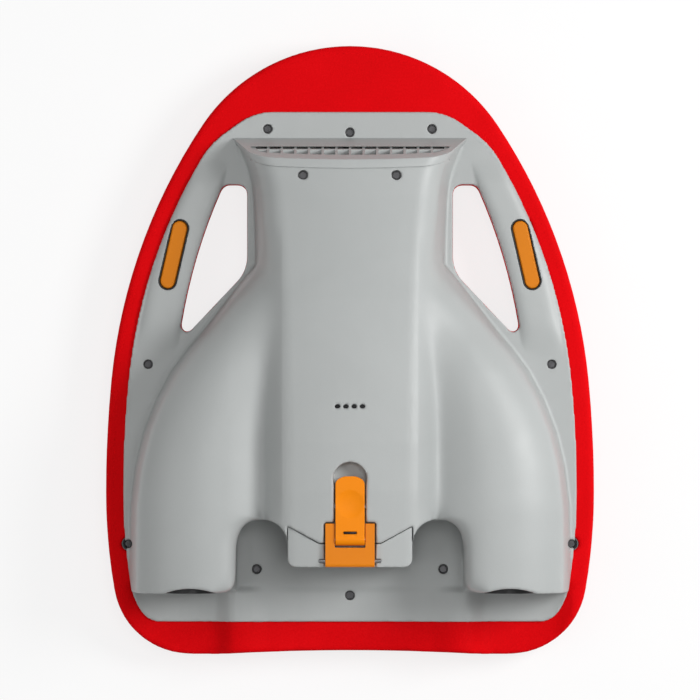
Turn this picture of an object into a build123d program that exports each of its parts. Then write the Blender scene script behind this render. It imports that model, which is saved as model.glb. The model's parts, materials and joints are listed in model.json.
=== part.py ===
"""Jet-powered bodyboard: foam deck, moulded hull, twin water jets, sliding battery and its latch.

The board lies on its flat deck: Z = 0 is the deck face, +Z comes out of the hull side, +Y points to
the nose and X runs across. The origin is under the middle of the board, on the deck face. Sizes are
in millimetres. Paired pieces are drawn on the +X side and mirrored.
"""
from build123d import *
import math
import os

# ---- Board outline and foam ------------------------------------------------------------------
NOSE_Y = 300.0
TAIL_Y = -300.0
TAIL_MIDDLE_Y = -296.5
BOARD_HALF_WIDTH = 240.8
WIDEST_Y = -140.0
SIDE_RADIUS = 1150.0
SHOULDER_RADIUS = 550.0
NOSE_RADIUS = 175.0
QUARTER_RADIUS = 560.0
TAIL_CORNER = 76.0
TAIL_LOBE_X = 130.0
FOAM_TOP_Z = 46.0
DECK_EDGE_RADIUS = 15.0
RIM_EDGE_RADIUS = 4.0
SOFT_GAP = 0.3

# ---- Hull plate ------------------------------------------------------------------------------
RIM_WIDTH = 17.0
HULL_FRONT_Y = 235.0
HULL_REAR_Y = -268.0
HULL_FRONT_CORNER = 60.0
HULL_CHEEK_X = 112.0
HULL_CHEEK_Y = 222.0
HULL_CHEEK_ANGLE = 36.0
HULL_CHEEK_RADIUS = 80.0
HULL_REAR_CORNER = 22.0
HULL_WALL = 3.0
PLATE_Z = FOAM_TOP_Z + HULL_WALL
CEILING_Z = 200.0
FAR = 400.0

# ---- Dome: body and nacelles -----------------------------------------------------------------
# Body stations: place along Y, half width at the foot, half width at the shoulder, rise above the
# plate, shoulder radius, crown drop.
BODY_STATIONS = (
    (214.0, 120.0, 106.0, 56.0, 26.0, 8.0),
    (186.0, 106.0, 92.0, 61.0, 27.0, 8.0),
    (150.0, 98.0, 84.0, 68.0, 28.0, 8.0),
    (50.0, 95.0, 81.0, 90.0, 32.0, 8.0),
    (-90.0, 95.0, 80.0, 104.0, 34.0, 8.0),
    (-215.0, 95.0, 79.0, 100.0, 34.0, 8.0),
)
# Nacelle stations: place along Y, then X of the foot, then X and rise of the ridge, of the crest and
# of the inner edge, which lies inside the body. Rises are above the plate.
NACELLE_STATIONS = (
    (96.0, 87.0, 77.0, 36.0, 60.0, 50.0, 40.0, 48.0),
    (60.0, 115.0, 106.0, 44.0, 82.0, 70.0, 50.0, 78.0),
    (20.0, 146.0, 137.0, 50.0, 98.0, 74.0, 54.0, 70.0),
    (-21.0, 178.0, 169.0, 55.0, 126.0, 80.0, 56.0, 50.0),
    (-81.0, 205.0, 196.0, 60.0, 145.0, 86.0, 58.0, 34.0),
    (-152.0, 218.0, 208.0, 62.0, 156.0, 89.0, 58.0, 26.0),
    (-248.0, 219.0, 208.0, 56.0, 160.0, 84.0, 58.0, 24.0),
)
RIDGE_RADIUS = 15.0
BODY_STEPS = 3
NACELLE_STEPS = 2
DOME_ROOT_DROP = 12.0
RADIUS_LOSS = 0.6

# ---- Tail: arches beside the battery, jet channels and trough -----------------------------------
NACELLE_REAR_Y = -238.0
BODY_REAR_Y = -188.0
BODY_CORNER_Y = -171.0
BAY_LIP_HALF = 30.0
CAP_HALF = 61.5
ARCH_OUTER_X = 112.0
ARCH_FRONT_Y = -166.0
ARCH_RADIUS = 22.0
OUTLET_SCOOP_RADIUS = 70.0
OUTLET_SCOOP_DEPTH = 5.0
CHANNEL_X = 167.0
CHANNEL_HALF = 53.0
CHANNEL_DEPTH = 8.0
TROUGH_HALF = 96.0
TROUGH_DEPTH = 5.0

# ---- Hand holes --------------------------------------------------------------------------------
HOLE_INNER_X = 101.5
HOLE_FRONT_Y = 163.0
HOLE_FRONT_OUTER_X = 125.0
HOLE_SIDE_X = 151.5
HOLE_SIDE_Y = 92.0
HOLE_REAR_X = 169.5
HOLE_REAR_Y = 6.0
HOLE_BEND_Y = 78.0
HOLE_FRONT_RADIUS = 9.0
HOLE_REAR_RADIUS = 6.0
HOLE_BEND_RADIUS = 35.0
HOLE_DECK_RADIUS = 6.0

# ---- Intake ------------------------------------------------------------------------------------
MOUTH_Y = 209.0
MOUTH_LEAN = 20.0
MOUTH_FLOOR_Z = PLATE_Z + 2.5
MOUTH_INSET = 9.0
MOUTH_SECTION = (118.0, 103.0, 57.0, 26.0, 8.0)
BEZEL_DEPTH = 8.0
BEZEL_PROUD = 1.0
GRILLE_DEPTH = 5.0
GRILLE_RING = 3.0
GRILLE_BAR = 2.4
GRILLE_PITCH = 13.4
GRILLE_BARS = 15
GRILLE_RAIL_Z = 76.0
FIT_GAP = 0.2

# ---- Inner tray --------------------------------------------------------------------------------
TRAY_FLOOR_Z = 24.0
TRAY_WALL = 2.5
TRAY_INSET = 6.0
SADDLE_THICK = 4.0
SADDLE_HALF = 48.0
BAY_SADDLE_YS = (-60.0, -150.0)

# ---- Water path --------------------------------------------------------------------------------
DUCT_WALL = 2.5
# Sections of the bore: place along Y, centre X, centre Z, half width, half height.
DUCT_SECTIONS = (
    (140.0, 43.0, 74.0, 34.0, 23.0),
    (70.0, 53.0, 66.0, 27.0, 27.0),
    (10.0, 95.0, 61.0, 26.0, 26.0),
    (-60.0, 139.0, 76.0, 28.0, 28.0),
)
DUCT_MOUTH_X = 47.0
DUCT_MOUTH_Z = 75.0
DUCT_MOUTH_HALF = 41.0
DUCT_MOUTH_RISE = 20.5
PUMP_X = 156.0
PUMP_Z = 86.0
PUMP_BORE = 28.5
PUMP_WALL = 2.5
PUMP_FRONT_Y = -125.0
PUMP_REAR_Y = -205.0
NOZZLE_BORE = 22.0
NOZZLE_REAR_Y = -238.5
PUMP_SADDLE_Y = -165.0
PUMP_SADDLE_HALF = 14.0

# ---- Motor pod and rotor -----------------------------------------------------------------------
POD_RADIUS = 15.0
POD_WALL = 1.6
POD_FRONT_Y = -166.0
POD_BODY_REAR_Y = -208.0
POD_TIP_Y = -224.0
POD_NOSE_THICK = 4.0
VANE_COUNT = 5
VANE_THICK = 2.0
VANE_FRONT_Y = -174.0
VANE_LENGTH = 24.0
BEARING_RADIUS = 5.0
SHAFT_RADIUS = 2.5
SHAFT_RUN_GAP = 0.03
SHAFT_REAR_Y = -186.0
HUB_RADIUS = 13.0
HUB_REAR_Y = -164.5
HUB_FRONT_Y = -138.0
BLADE_COUNT = 4
BLADE_TIP_GAP = 0.6
BLADE_THICK = 2.0
BLADE_LENGTH = 26.0
BLADE_ROOT_PITCH = 38.0
BLADE_TIP_PITCH = 58.0
SPINNER_FRONT_Y = -122.0

# ---- Battery, bay and cap ----------------------------------------------------------------------
CASE_HALF = 54.0
CASE_LOW_Z = 56.0
CASE_HIGH_Z = 128.0
CASE_FRONT_Y = -42.0
CASE_REAR_Y = -192.0
CASE_WALL = 3.0
CASE_CORNER = 9.0
SLIDE_GAP = 0.6
BAY_WALL = 2.4
BAY_FRONT_Y = -36.0
BAY_REAR_Y = -169.0
CAP_REAR_Y = -211.5
CAP_LOW_Z = 52.0
CAP_GAP = 0.8
CAP_TOP_DROP = 2.0
CAP_WALL = 4.0
CAP_CORNER = 8.0
SEAL_Y = -160.0
SEAL_WIDTH = 4.0
SEAL_DEPTH = 1.7
CELL_COUNT = 10
CELL_THICK = 11.0
CELL_GAP = 0.5
CELL_HALF = 49.0
BOARD_THICK = 1.6
BATTERY_BOARD_HALF = 45.0
BATTERY_BOARD_EDGE = 4.0
TERMINAL_HALF = 20.0
TERMINAL_HEIGHT = 24.0
TERMINAL_LENGTH = 9.0
PIN_PITCH = 20.0
PIN_RADIUS = 2.4
PIN_GAP = 0.2
PIN_REACH = 5.0

# ---- Latch -------------------------------------------------------------------------------------
POCKET_FLOOR_Z = 136.0
POCKET_WALL = 2.5
LEVER_WIDTH = 28.5
LEVER_FRONT_Y = -123.0
LEVER_PIVOT_Y = -184.5
LEVER_PIVOT_Z = 148.0
LEVER_TAIL_RADIUS = 6.0
LEVER_LOW_Z = 144.5
LEVER_TOP_Z = 153.5
LEVER_CORNER = 5.0
LEVER_SLOT_LENGTH = 14.0
LEVER_SLOT_WIDTH = 3.0
LEVER_SLOT_Y = -178.0
DISH_RADIUS = 60.0
DISH_DEPTH = 1.6
DISH_Y = -150.0
SIDE_GAP = 1.25
WELL_HALF = 16.5
WELL_FRONT_Y = -109.0
FRAME_HALF = 24.0
FRAME_FRONT_Y = -169.0
FRAME_NOTCH_Y = -192.5
FRAME_LOW_Z = 141.0
FRAME_TOP_Z = 151.5
FRAME_PIVOT_Y = -205.5
FRAME_PIVOT_Z = 145.5
LATCH_PIN_RADIUS = 2.0
LATCH_RUN_GAP = 0.05
FRAME_PIN_HALF = 30.0
KEEPER_Y = -152.0
KEEPER_THICK = 3.4
KEEPER_HEIGHT = 5.0
TOOTH_THICK = 4.0
TOOTH_GAP = 0.3
TOOTH_HALF = 9.0

# ---- Triggers ----------------------------------------------------------------------------------
TRIGGER_X = 173.7
TRIGGER_Y = 94.0
TRIGGER_TURN = 13.0
TRIGGER_LENGTH = 68.0
TRIGGER_WIDTH = 15.0
TRIGGER_GAP = 1.0
TRIGGER_PROUD = 2.5
TRIGGER_EDGE = 1.6
TRIGGER_FLANGE = 2.5
TRIGGER_FLANGE_THICK = 2.0
TRIGGER_TRAVEL = 3.0
SWITCH_LENGTH = 30.0
SWITCH_WIDTH = 11.0
SWITCH_CORNER = 2.0
SWITCH_GAP = 0.5

# ---- Indicator, controller, screws ---------------------------------------------------------------
LAMP_COUNT = 4
LAMP_PITCH = 8.2
LAMP_Y = -55.0
LAMP_LENGTH = 5.0
LAMP_WIDTH = 3.5
LAMP_BAR_LENGTH = 36.0
LAMP_BAR_WIDTH = 9.0
LAMP_BAR_THICK = 3.0
LAMP_BOARD_LENGTH = 44.0
LAMP_BOARD_WIDTH = 16.0
CONTROLLER_HALF = 34.0
CONTROLLER_REAR_Y = -28.0
CONTROLLER_FRONT_Y = 38.0
CONTROLLER_LOW_Z = 44.0
CONTROLLER_SPLIT_Z = 70.0
CONTROLLER_HIGH_Z = 80.0
CONTROLLER_WALL = 2.5
CONTROLLER_CORNER = 6.0
CONTROLLER_FINS = 7
FIN_THICK = 2.5
FIN_DEPTH = 5.0
POST_RADIUS = 4.0
POST_INSET = 8.0
PLATE_SCREWS = ((0.0, 214.5), (81.0, 218.0), (199.0, -14.0), (218.2, -191.0), (92.0, -216.0), (0.0, -242.0))
ROOF_SCREW = (45.6, 171.0)
ROOF_BOSS_Z = 100.0
SCREW_HEAD_RADIUS = 3.8
SCREW_HEAD_HEIGHT = 2.6
SCREW_RADIUS = 2.0
SCREW_FIT = 0.1
COUNTERBORE_RADIUS = 4.2
BOSS_RADIUS = 5.8
BOSS_FLOOR_Z = 36.0
HEAD_SEAT_Z = 39.0
DRIVE_WIDTH = 1.0
DRIVE_DEPTH = 1.2


# ---- Small helpers -----------------------------------------------------------------------------
def block(x0, x1, y0, y1, z0, z1):
    """Box between two corners."""
    size = (x1 - x0, y1 - y0, z1 - z0)
    return Pos((x0 + x1) / 2, (y0 + y1) / 2, (z0 + z1) / 2) * Box(*size)


def post(x, y, z0, z1, radius):
    """Upright cylinder."""
    return Pos(x, y, (z0 + z1) / 2) * Cylinder(radius, z1 - z0)


def bar_along_x(half, y, z, radius):
    """Round bar across the board, centred on the middle."""
    return Pos(0, y, z) * Rot(0, 90, 0) * Cylinder(radius, 2 * half)


def rod_along_y(x, z, y0, y1, radius):
    """Round bar along the board."""
    return Pos(x, (y0 + y1) / 2, z) * Rot(90, 0, 0) * Cylinder(radius, y1 - y0)


def other_side(shape):
    return mirror(shape, about=Plane.YZ)


def both_sides(shape):
    return shape + other_side(shape)


def rise_face(face, z0, z1):
    """Flat face drawn on Z = 0, raised into a prism."""
    return extrude(Pos(0, 0, z0) * face, z1 - z0)


# ---- Outlines ----------------------------------------------------------------------------------
def arc_round(centre, start, end):
    """Arc from start to end about a centre, the short way round."""
    radius = (start - centre).length
    middle = centre + ((start + end) * 0.5 - centre).normalized() * radius
    return ThreePointArc(start, middle, end)


def board_outline(inset):
    """Bow of three tangent arcs, drawn-in quarters, rounded tail corners and a hollowed tail."""
    side_radius = SIDE_RADIUS - inset
    shoulder_radius = SHOULDER_RADIUS - inset
    nose_radius = NOSE_RADIUS - inset
    quarter_radius = QUARTER_RADIUS - inset
    widest = Vector(BOARD_HALF_WIDTH - inset, WIDEST_Y)
    nose = Vector(0, NOSE_Y - inset)
    tail_y = TAIL_Y + inset
    side_centre = widest - Vector(side_radius, 0)
    nose_centre = nose - Vector(0, nose_radius)
    reach = side_radius - shoulder_radius
    span = nose_centre - side_centre
    along = (reach**2 - (shoulder_radius - nose_radius) ** 2 + span.length**2) / (2 * span.length)
    across = math.sqrt(max(reach**2 - along**2, 0))
    way = span.normalized()
    shoulder_centre = side_centre + way * along + Vector(way.Y, -way.X) * across
    first = side_centre + (shoulder_centre - side_centre).normalized() * side_radius
    second = nose_centre + (nose_centre - shoulder_centre).normalized() * nose_radius
    quarter_centre = widest - Vector(quarter_radius, 0)
    quarter = math.asin((WIDEST_Y - tail_y) / quarter_radius)
    corner = quarter_centre + Vector(math.cos(quarter), -math.sin(quarter)) * quarter_radius
    lobe = Vector(TAIL_LOBE_X, tail_y)
    half = [
        arc_round(nose_centre, nose, second),
        arc_round(shoulder_centre, second, first),
        arc_round(side_centre, first, widest),
        arc_round(quarter_centre, widest, corner),
        Line(corner, lobe),
    ]
    hollow = ThreePointArc(lobe, (0, TAIL_MIDDLE_Y + inset), (-TAIL_LOBE_X, tail_y))
    outline = Curve() + half
    face = make_face(outline + hollow + mirror(outline, about=Plane.YZ))
    corners = [v for v in face.vertices() if (abs(v.X) - corner.X) ** 2 + (v.Y - corner.Y) ** 2 < 1]
    return fillet(corners, TAIL_CORNER - inset)


def hull_outline(inset):
    """Board outline inside the foam rim, cut straight at nose and tail and slanted at the cheeks."""
    front_y = HULL_FRONT_Y - inset
    rear_y = HULL_REAR_Y + inset
    band = Pos(0, (front_y + rear_y) / 2) * Rectangle(2 * FAR, front_y - rear_y)
    cheek = Pos(0, -FAR - inset) * Rectangle(4 * FAR, 2 * FAR)
    right = Pos(HULL_CHEEK_X, HULL_CHEEK_Y) * Rot(0, 0, -HULL_CHEEK_ANGLE) * cheek
    face = board_outline(RIM_WIDTH + inset) & band & right & other_side(right)
    face = fillet(face.vertices().group_by(Axis.Y)[-2], HULL_CHEEK_RADIUS - inset)
    face = fillet(face.vertices().group_by(Axis.Y)[-1], HULL_FRONT_CORNER - inset)
    return fillet(face.vertices().group_by(Axis.Y)[0], HULL_REAR_CORNER - inset)


def hand_hole():
    """Hand hole on the +X side: straight inner edge, bowed outer edge, slanted rear edge."""
    front_inner = (HOLE_INNER_X, HOLE_FRONT_Y)
    front_outer = (HOLE_FRONT_OUTER_X, HOLE_FRONT_Y)
    rear = (HOLE_REAR_X, HOLE_REAR_Y)
    bend = (HOLE_INNER_X, HOLE_BEND_Y)
    face = make_face(
        [
            Line(bend, front_inner),
            Line(front_inner, front_outer),
            ThreePointArc(front_outer, (HOLE_SIDE_X, HOLE_SIDE_Y), rear),
            Line(rear, bend),
        ]
    )
    corners = face.vertices().sort_by(Axis.Y)
    face = fillet(corners[0], HOLE_REAR_RADIUS)
    face = fillet(face.vertices().sort_by_distance((*bend, 0))[0], HOLE_BEND_RADIUS)
    return fillet(face.vertices().group_by(Axis.Y)[-1], HOLE_FRONT_RADIUS)


def tray_outline(spare):
    """Hull outline inset for the tray, with a lobe at every plate screw, grown by spare."""
    face = hull_outline(TRAY_INSET - spare)
    for x, y in PLATE_SCREWS:
        lobe = Pos(x, y) * Circle(BOSS_RADIUS + 1.0 + spare)
        face = face + lobe + other_side(lobe)
    return face - both_sides(offset(HOLE_FACE, amount=TRAY_INSET - spare))


# ---- Dome --------------------------------------------------------------------------------------
def between(stations, steps):
    """Stations with others set between them on smooth curves through every value."""
    rows = []
    last = len(stations) - 1
    for i in range(last):
        before = stations[max(i - 1, 0)]
        start = stations[i]
        end = stations[i + 1]
        after = stations[min(i + 2, last)]
        for k in range(steps):
            t = k / steps
            row = []
            for p, q, r, s in zip(before, start, end, after):
                bend = (2 * p - 5 * q + 4 * r - s) * t**2 + (3 * q - p - 3 * r + s) * t**3
                row.append(q + ((r - p) * t + bend) / 2)
            rows.append(tuple(row))
    rows.append(stations[-1])
    return rows


def across(y, face):
    """Section drawn in X and height, stood up across the board at y."""
    return Plane(origin=(0, y, 0), x_dir=(1, 0, 0), z_dir=(0, -1, 0)) * face


def body_arch(station, inset):
    """Cross-section of the body: sloped sides, rounded shoulders and a crowned top."""
    foot, shoulder, rise, radius, crown = station
    base = PLATE_Z - DOME_ROOT_DROP - inset
    top = PLATE_Z + rise - inset
    foot = foot - inset
    shoulder = shoulder - inset
    face = make_face(
        [
            Line((-foot, base), (-shoulder, top - crown)),
            ThreePointArc((-shoulder, top - crown), (0, top), (shoulder, top - crown)),
            Line((shoulder, top - crown), (foot, base)),
            Line((foot, base), (-foot, base)),
        ]
    )
    shoulders = face.vertices().group_by(Axis.Y)[-1]
    return fillet(shoulders, radius - RADIUS_LOSS * inset)


def nacelle_arch(station, inset):
    """Cross-section of a nacelle: long inner slope, crest, and a tight ridge over the outer side."""
    foot, ridge, ridge_rise, crest, crest_rise, inner, inner_rise = station
    base = PLATE_Z - DOME_ROOT_DROP - inset
    level = PLATE_Z - inset
    start = (inner + inset, level + inner_rise)
    end = (ridge - inset, level + ridge_rise)
    face = make_face(
        [
            Line((inner + inset, base), start),
            ThreePointArc(start, (crest, level + crest_rise), end),
            Line(end, (foot - inset, base)),
            Line((foot - inset, base), (inner + inset, base)),
        ]
    )
    ridges = face.vertices().sort_by_distance((*end, 0))[0]
    return fillet(ridges, RIDGE_RADIUS - RADIUS_LOSS * inset)


def body_form(inset):
    rows = between(BODY_STATIONS, BODY_STEPS)
    return loft([across(row[0], body_arch(row[1:], inset)) for row in rows], ruled=True)


def dome_form(inset):
    """Body and both nacelles as one closed form."""
    rows = between(NACELLE_STATIONS, NACELLE_STEPS)
    nacelle = loft([across(row[0], nacelle_arch(row[1:], inset)) for row in rows], ruled=True)
    return body_form(inset) + nacelle + other_side(nacelle)


def round_trough(x, half, depth, drop):
    """Round-bottomed groove along the tail, lowered by drop."""
    radius = (half**2 + depth**2) / (2 * depth)
    return rod_along_y(x, PLATE_Z - depth + radius - drop, -FAR, 0, radius)


def tail_grooves(drop):
    channel = round_trough(CHANNEL_X, CHANNEL_HALF, CHANNEL_DEPTH, drop)
    return both_sides(channel) + round_trough(0, TROUGH_HALF, TROUGH_DEPTH, drop)


def tail_plan(grow):
    """Plan of the low tail area behind the nacelles, the arches and the battery cap."""
    rear = Pos(0, (NACELLE_REAR_Y - FAR) / 2) * Rectangle(2 * FAR, NACELLE_REAR_Y + FAR)
    cap = make_face(
        Polyline(
            [
                (-CAP_HALF, NACELLE_REAR_Y - 1),
                (-CAP_HALF, BODY_CORNER_Y),
                (-BAY_LIP_HALF, BODY_REAR_Y),
                (BAY_LIP_HALF, BODY_REAR_Y),
                (CAP_HALF, BODY_CORNER_Y),
                (CAP_HALF, NACELLE_REAR_Y - 1),
            ],
            close=True,
        )
    )
    arch_depth = ARCH_FRONT_Y - NACELLE_REAR_Y + 1
    arch_width = ARCH_OUTER_X - CAP_HALF
    arch_x = (ARCH_OUTER_X + CAP_HALF) / 2
    side = Pos(arch_x, ARCH_FRONT_Y - arch_depth / 2) * Rectangle(arch_width, arch_depth)
    side = fillet(side.vertices().group_by(Axis.Y)[-1], ARCH_RADIUS)
    scoop_y = NACELLE_REAR_Y + OUTLET_SCOOP_DEPTH - OUTLET_SCOOP_RADIUS
    scoop = Pos(PUMP_X, scoop_y) * Circle(OUTLET_SCOOP_RADIUS)
    plan = rear + cap + both_sides(side) + both_sides(scoop)
    if grow > 0:
        plan = offset(plan, amount=grow)
    return plan


def tail_cutter(grow):
    """Everything above the low tail surface, grown by a wall for the inner form."""
    prism = rise_face(tail_plan(grow), 0, CEILING_Z)
    over = block(-FAR, FAR, -FAR, 0, PLATE_Z - grow, CEILING_Z) + tail_grooves(grow)
    return prism & over


def lean_slab(rear_y, front_y, low_z):
    """Slab across the board between two planes that lean back with height."""
    lean = math.tan(math.radians(MOUTH_LEAN))
    low = (low_z - PLATE_Z) * lean
    high = (CEILING_Z - PLATE_Z) * lean
    side = Plane.YZ * make_face(
        Polyline(
            [
                (rear_y - low, low_z),
                (rear_y - high, CEILING_Z),
                (front_y - high, CEILING_Z),
                (front_y - low, low_z),
            ],
            close=True,
        )
    )
    return extrude(side, FAR / 2, both=True)


def mouth_prism(inset):
    """Prism of the mouth opening, along the board."""
    prism = extrude(across(FAR / 2, body_arch(MOUTH_SECTION, inset)), FAR)
    return prism & block(-FAR, FAR, 0, FAR, MOUTH_FLOOR_Z + inset - MOUTH_INSET, CEILING_Z)


# ---- Hull shell --------------------------------------------------------------------------------
def latch_pocket(grow):
    """Finger well, lever channel and frame recess; grown by a wall for the pan around them."""
    floor = POCKET_FLOOR_Z - grow
    well_y = WELL_FRONT_Y - WELL_HALF
    well = post(0, well_y, floor, CEILING_Z, WELL_HALF + grow)
    lane_half = LEVER_WIDTH / 2 + SIDE_GAP + grow
    lane = block(-lane_half, lane_half, -FAR / 2, well_y, floor, CEILING_Z)
    frame_half = FRAME_HALF + SIDE_GAP + grow
    frame_y = FRAME_FRONT_Y + SIDE_GAP + grow
    return well + lane + block(-frame_half, frame_half, -FAR / 2, frame_y, floor, CEILING_Z)


def lamp_places():
    first = -LAMP_PITCH * (LAMP_COUNT - 1) / 2
    return [(first + i * LAMP_PITCH, LAMP_Y) for i in range(LAMP_COUNT)]


def trigger_place(face):
    return Pos(TRIGGER_X, TRIGGER_Y) * Rot(0, 0, 90 + TRIGGER_TURN) * face


def screw_places():
    """Every plate screw on both sides, without doubling the ones on the middle line."""
    mirrored = [(-x, y) for x, y in PLATE_SCREWS if x > 0]
    return list(PLATE_SCREWS) + mirrored


def roof_screw_places():
    x, y = ROOF_SCREW
    return [(x, y), (-x, y)]


def hull_shell():
    prism = rise_face(HULL_FACE, BOSS_FLOOR_Z, CEILING_Z)
    hull_front = MOUTH_Y - BEZEL_DEPTH
    front = lean_slab(hull_front, FAR, PLATE_Z)
    plate = rise_face(HULL_FACE, FOAM_TOP_Z - HULL_WALL - CHANNEL_DEPTH, PLATE_Z)
    outer = plate + (DOME_OUTER & prism)
    outer = outer - front - TAIL_OUTER
    bossed = outer + (rise_face(HULL_FACE, BOSS_FLOOR_Z, PLATE_Z) - TAIL_OUTER)
    inner_front = lean_slab(hull_front - HULL_WALL, FAR, PLATE_Z - HULL_WALL)
    inner = block(-FAR, FAR, -FAR, FAR, 0, PLATE_Z - HULL_WALL) + DOME_INNER
    inner = inner - inner_front - tail_cutter(HULL_WALL)
    shell = outer - inner
    pan = (latch_pocket(POCKET_WALL) & DOME_OUTER & block(-FAR, FAR, -FAR, FAR, 0, CEILING_Z)) - TAIL_OUTER
    shell = shell + pan - latch_pocket(0)
    shell = shell - (mouth_prism(MOUTH_INSET) & lean_slab(hull_front - 2 * HULL_WALL, FAR, PLATE_Z))
    for x, y in screw_places():
        shell = shell + (post(x, y, BOSS_FLOOR_Z, PLATE_Z, BOSS_RADIUS) & bossed)
    for x, y in screw_places():
        shell = shell - post(x, y, HEAD_SEAT_Z, CEILING_Z, COUNTERBORE_RADIUS)
        shell = shell - post(x, y, 0, CEILING_Z, SCREW_RADIUS + SCREW_FIT)
    for x, y in roof_screw_places():
        boss = post(x, y, ROOF_BOSS_Z, CEILING_Z, BOSS_RADIUS) & DOME_OUTER
        shell = shell + boss
        shell = shell - post(x, y, ROOF_BOSS_Z + HULL_WALL, CEILING_Z, COUNTERBORE_RADIUS)
        shell = shell - post(x, y, 0, CEILING_Z, SCREW_RADIUS + SCREW_FIT)
    bay_gap = CASE_HALF + SLIDE_GAP
    mouth = block(-bay_gap, bay_gap, -FAR, BAY_REAR_Y, CASE_LOW_Z - SLIDE_GAP, CASE_HIGH_Z + SLIDE_GAP)
    shell = shell - mouth
    outlet = rod_along_y(PUMP_X, PUMP_Z, -FAR, PUMP_REAR_Y, NOZZLE_BORE + DUCT_WALL + 2 * SOFT_GAP)
    shell = shell - both_sides(outlet)
    for x, y in lamp_places():
        hole = Pos(x, y) * SlotOverall(LAMP_LENGTH + 2 * FIT_GAP, LAMP_WIDTH + 2 * FIT_GAP)
        shell = shell - rise_face(hole, POCKET_FLOOR_Z, CEILING_Z)
    gap = 2 * TRIGGER_GAP
    slot = rise_face(trigger_place(SlotOverall(TRIGGER_LENGTH + gap, TRIGGER_WIDTH + gap)), 0, CEILING_Z)
    shell = shell - both_sides(slot)
    hole = rise_face(HOLE_FACE, 0, CEILING_Z)
    return shell - both_sides(hole)


# ---- Foam and tray -----------------------------------------------------------------------------
def trigger_room():
    """Room for a trigger's flange through its whole travel."""
    spread = 2 * (TRIGGER_FLANGE + TRIGGER_GAP)
    low = FOAM_TOP_Z - SOFT_GAP - TRIGGER_FLANGE_THICK - TRIGGER_TRAVEL - SWITCH_GAP
    room = SlotOverall(TRIGGER_LENGTH + spread, TRIGGER_WIDTH + spread)
    return rise_face(trigger_place(room), low, CEILING_Z)


def foam_deck():
    slab = rise_face(board_outline(0), 0, FOAM_TOP_Z)
    slab = slab - both_sides(rise_face(HOLE_FACE, -1, CEILING_Z))
    slab = fillet(slab.faces().sort_by(Axis.Z)[0].outer_wire().edges(), DECK_EDGE_RADIUS)
    slab = fillet(slab.faces().sort_by(Axis.Z)[-1].outer_wire().edges(), RIM_EDGE_RADIUS)
    rims = [wire.edges() for wire in slab.faces().sort_by(Axis.Z)[0].inner_wires()]
    for rim in rims:
        slab = fillet(rim, HOLE_DECK_RADIUS)
    slab = slab - rise_face(tray_outline(SOFT_GAP), TRAY_FLOOR_Z, CEILING_Z)
    grooves_y = NACELLE_REAR_Y + OUTLET_SCOOP_DEPTH + 2 * HULL_WALL
    grooves = tail_grooves(HULL_WALL + SOFT_GAP) & block(-FAR, FAR, -FAR, grooves_y, 0, CEILING_Z)
    return slab - grooves - both_sides(trigger_room())


def pump_saddle():
    x0 = PUMP_X - PUMP_SADDLE_HALF
    x1 = PUMP_X + PUMP_SADDLE_HALF
    y1 = PUMP_SADDLE_Y + SADDLE_THICK
    saddle = block(x0, x1, PUMP_SADDLE_Y, y1, TRAY_FLOOR_Z + TRAY_WALL, PUMP_Z)
    shell = PUMP_BORE + PUMP_WALL + LATCH_RUN_GAP
    return saddle - rod_along_y(PUMP_X, PUMP_Z, -FAR, 0, shell)


def controller_posts():
    x = CONTROLLER_HALF - POST_INSET
    ys = (CONTROLLER_REAR_Y + POST_INSET, CONTROLLER_FRONT_Y - POST_INSET)
    return [(sx * x, y) for sx in (-1, 1) for y in ys]


def deck_tray():
    outline = tray_outline(0)
    pan = rise_face(outline, TRAY_FLOOR_Z, FOAM_TOP_Z)
    inside = tray_outline(-TRAY_WALL)
    pan = pan - rise_face(inside, TRAY_FLOOR_Z + TRAY_WALL, CEILING_Z)
    pan = pan - both_sides(trigger_room())
    floor = TRAY_FLOOR_Z + TRAY_WALL
    for x, y in screw_places():
        pan = pan - post(x, y, BOSS_FLOOR_Z, CEILING_Z, BOSS_RADIUS + SOFT_GAP)
        pan = pan + post(x, y, floor, BOSS_FLOOR_Z, BOSS_RADIUS)
        pan = pan - post(x, y, floor - 1, CEILING_Z, SCREW_RADIUS + SHAFT_RUN_GAP)
    for y in BAY_SADDLE_YS:
        top = CASE_LOW_Z - SLIDE_GAP - BAY_WALL
        pan = pan + block(-SADDLE_HALF, SADDLE_HALF, y, y + SADDLE_THICK, floor, top)
    for x, y in controller_posts():
        pan = pan + post(x, y, floor, CONTROLLER_LOW_Z, POST_RADIUS)
    pan = pan + both_sides(pump_saddle())
    grooves = tail_grooves(HULL_WALL + SOFT_GAP) & rise_face(tail_plan(HULL_WALL), 0, CEILING_Z)
    return pan - grooves


# ---- Intake ------------------------------------------------------------------------------------
def intake_bezel():
    lip = body_form(-BEZEL_PROUD) & lean_slab(MOUTH_Y - BEZEL_DEPTH, MOUTH_Y, PLATE_Z)
    return lip - mouth_prism(MOUTH_INSET)


def intake_grille():
    """Upright bars and one rail in a D-shaped ring."""
    rear = MOUTH_Y - (BEZEL_DEPTH + GRILLE_DEPTH) / 2
    slab = lean_slab(rear, rear + GRILLE_DEPTH, PLATE_Z)
    whole = mouth_prism(MOUTH_INSET + FIT_GAP) & slab
    ring = whole - mouth_prism(MOUTH_INSET + FIT_GAP + GRILLE_RING)
    bars = block(-FAR, FAR, 0, FAR, GRILLE_RAIL_Z, GRILLE_RAIL_Z + GRILLE_BAR)
    first = -GRILLE_PITCH * (GRILLE_BARS - 1) / 2
    for i in range(GRILLE_BARS):
        x = first + i * GRILLE_PITCH
        bars = bars + block(x - GRILLE_BAR / 2, x + GRILLE_BAR / 2, 0, FAR, 0, CEILING_Z)
    return ring + (whole & bars)


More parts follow.
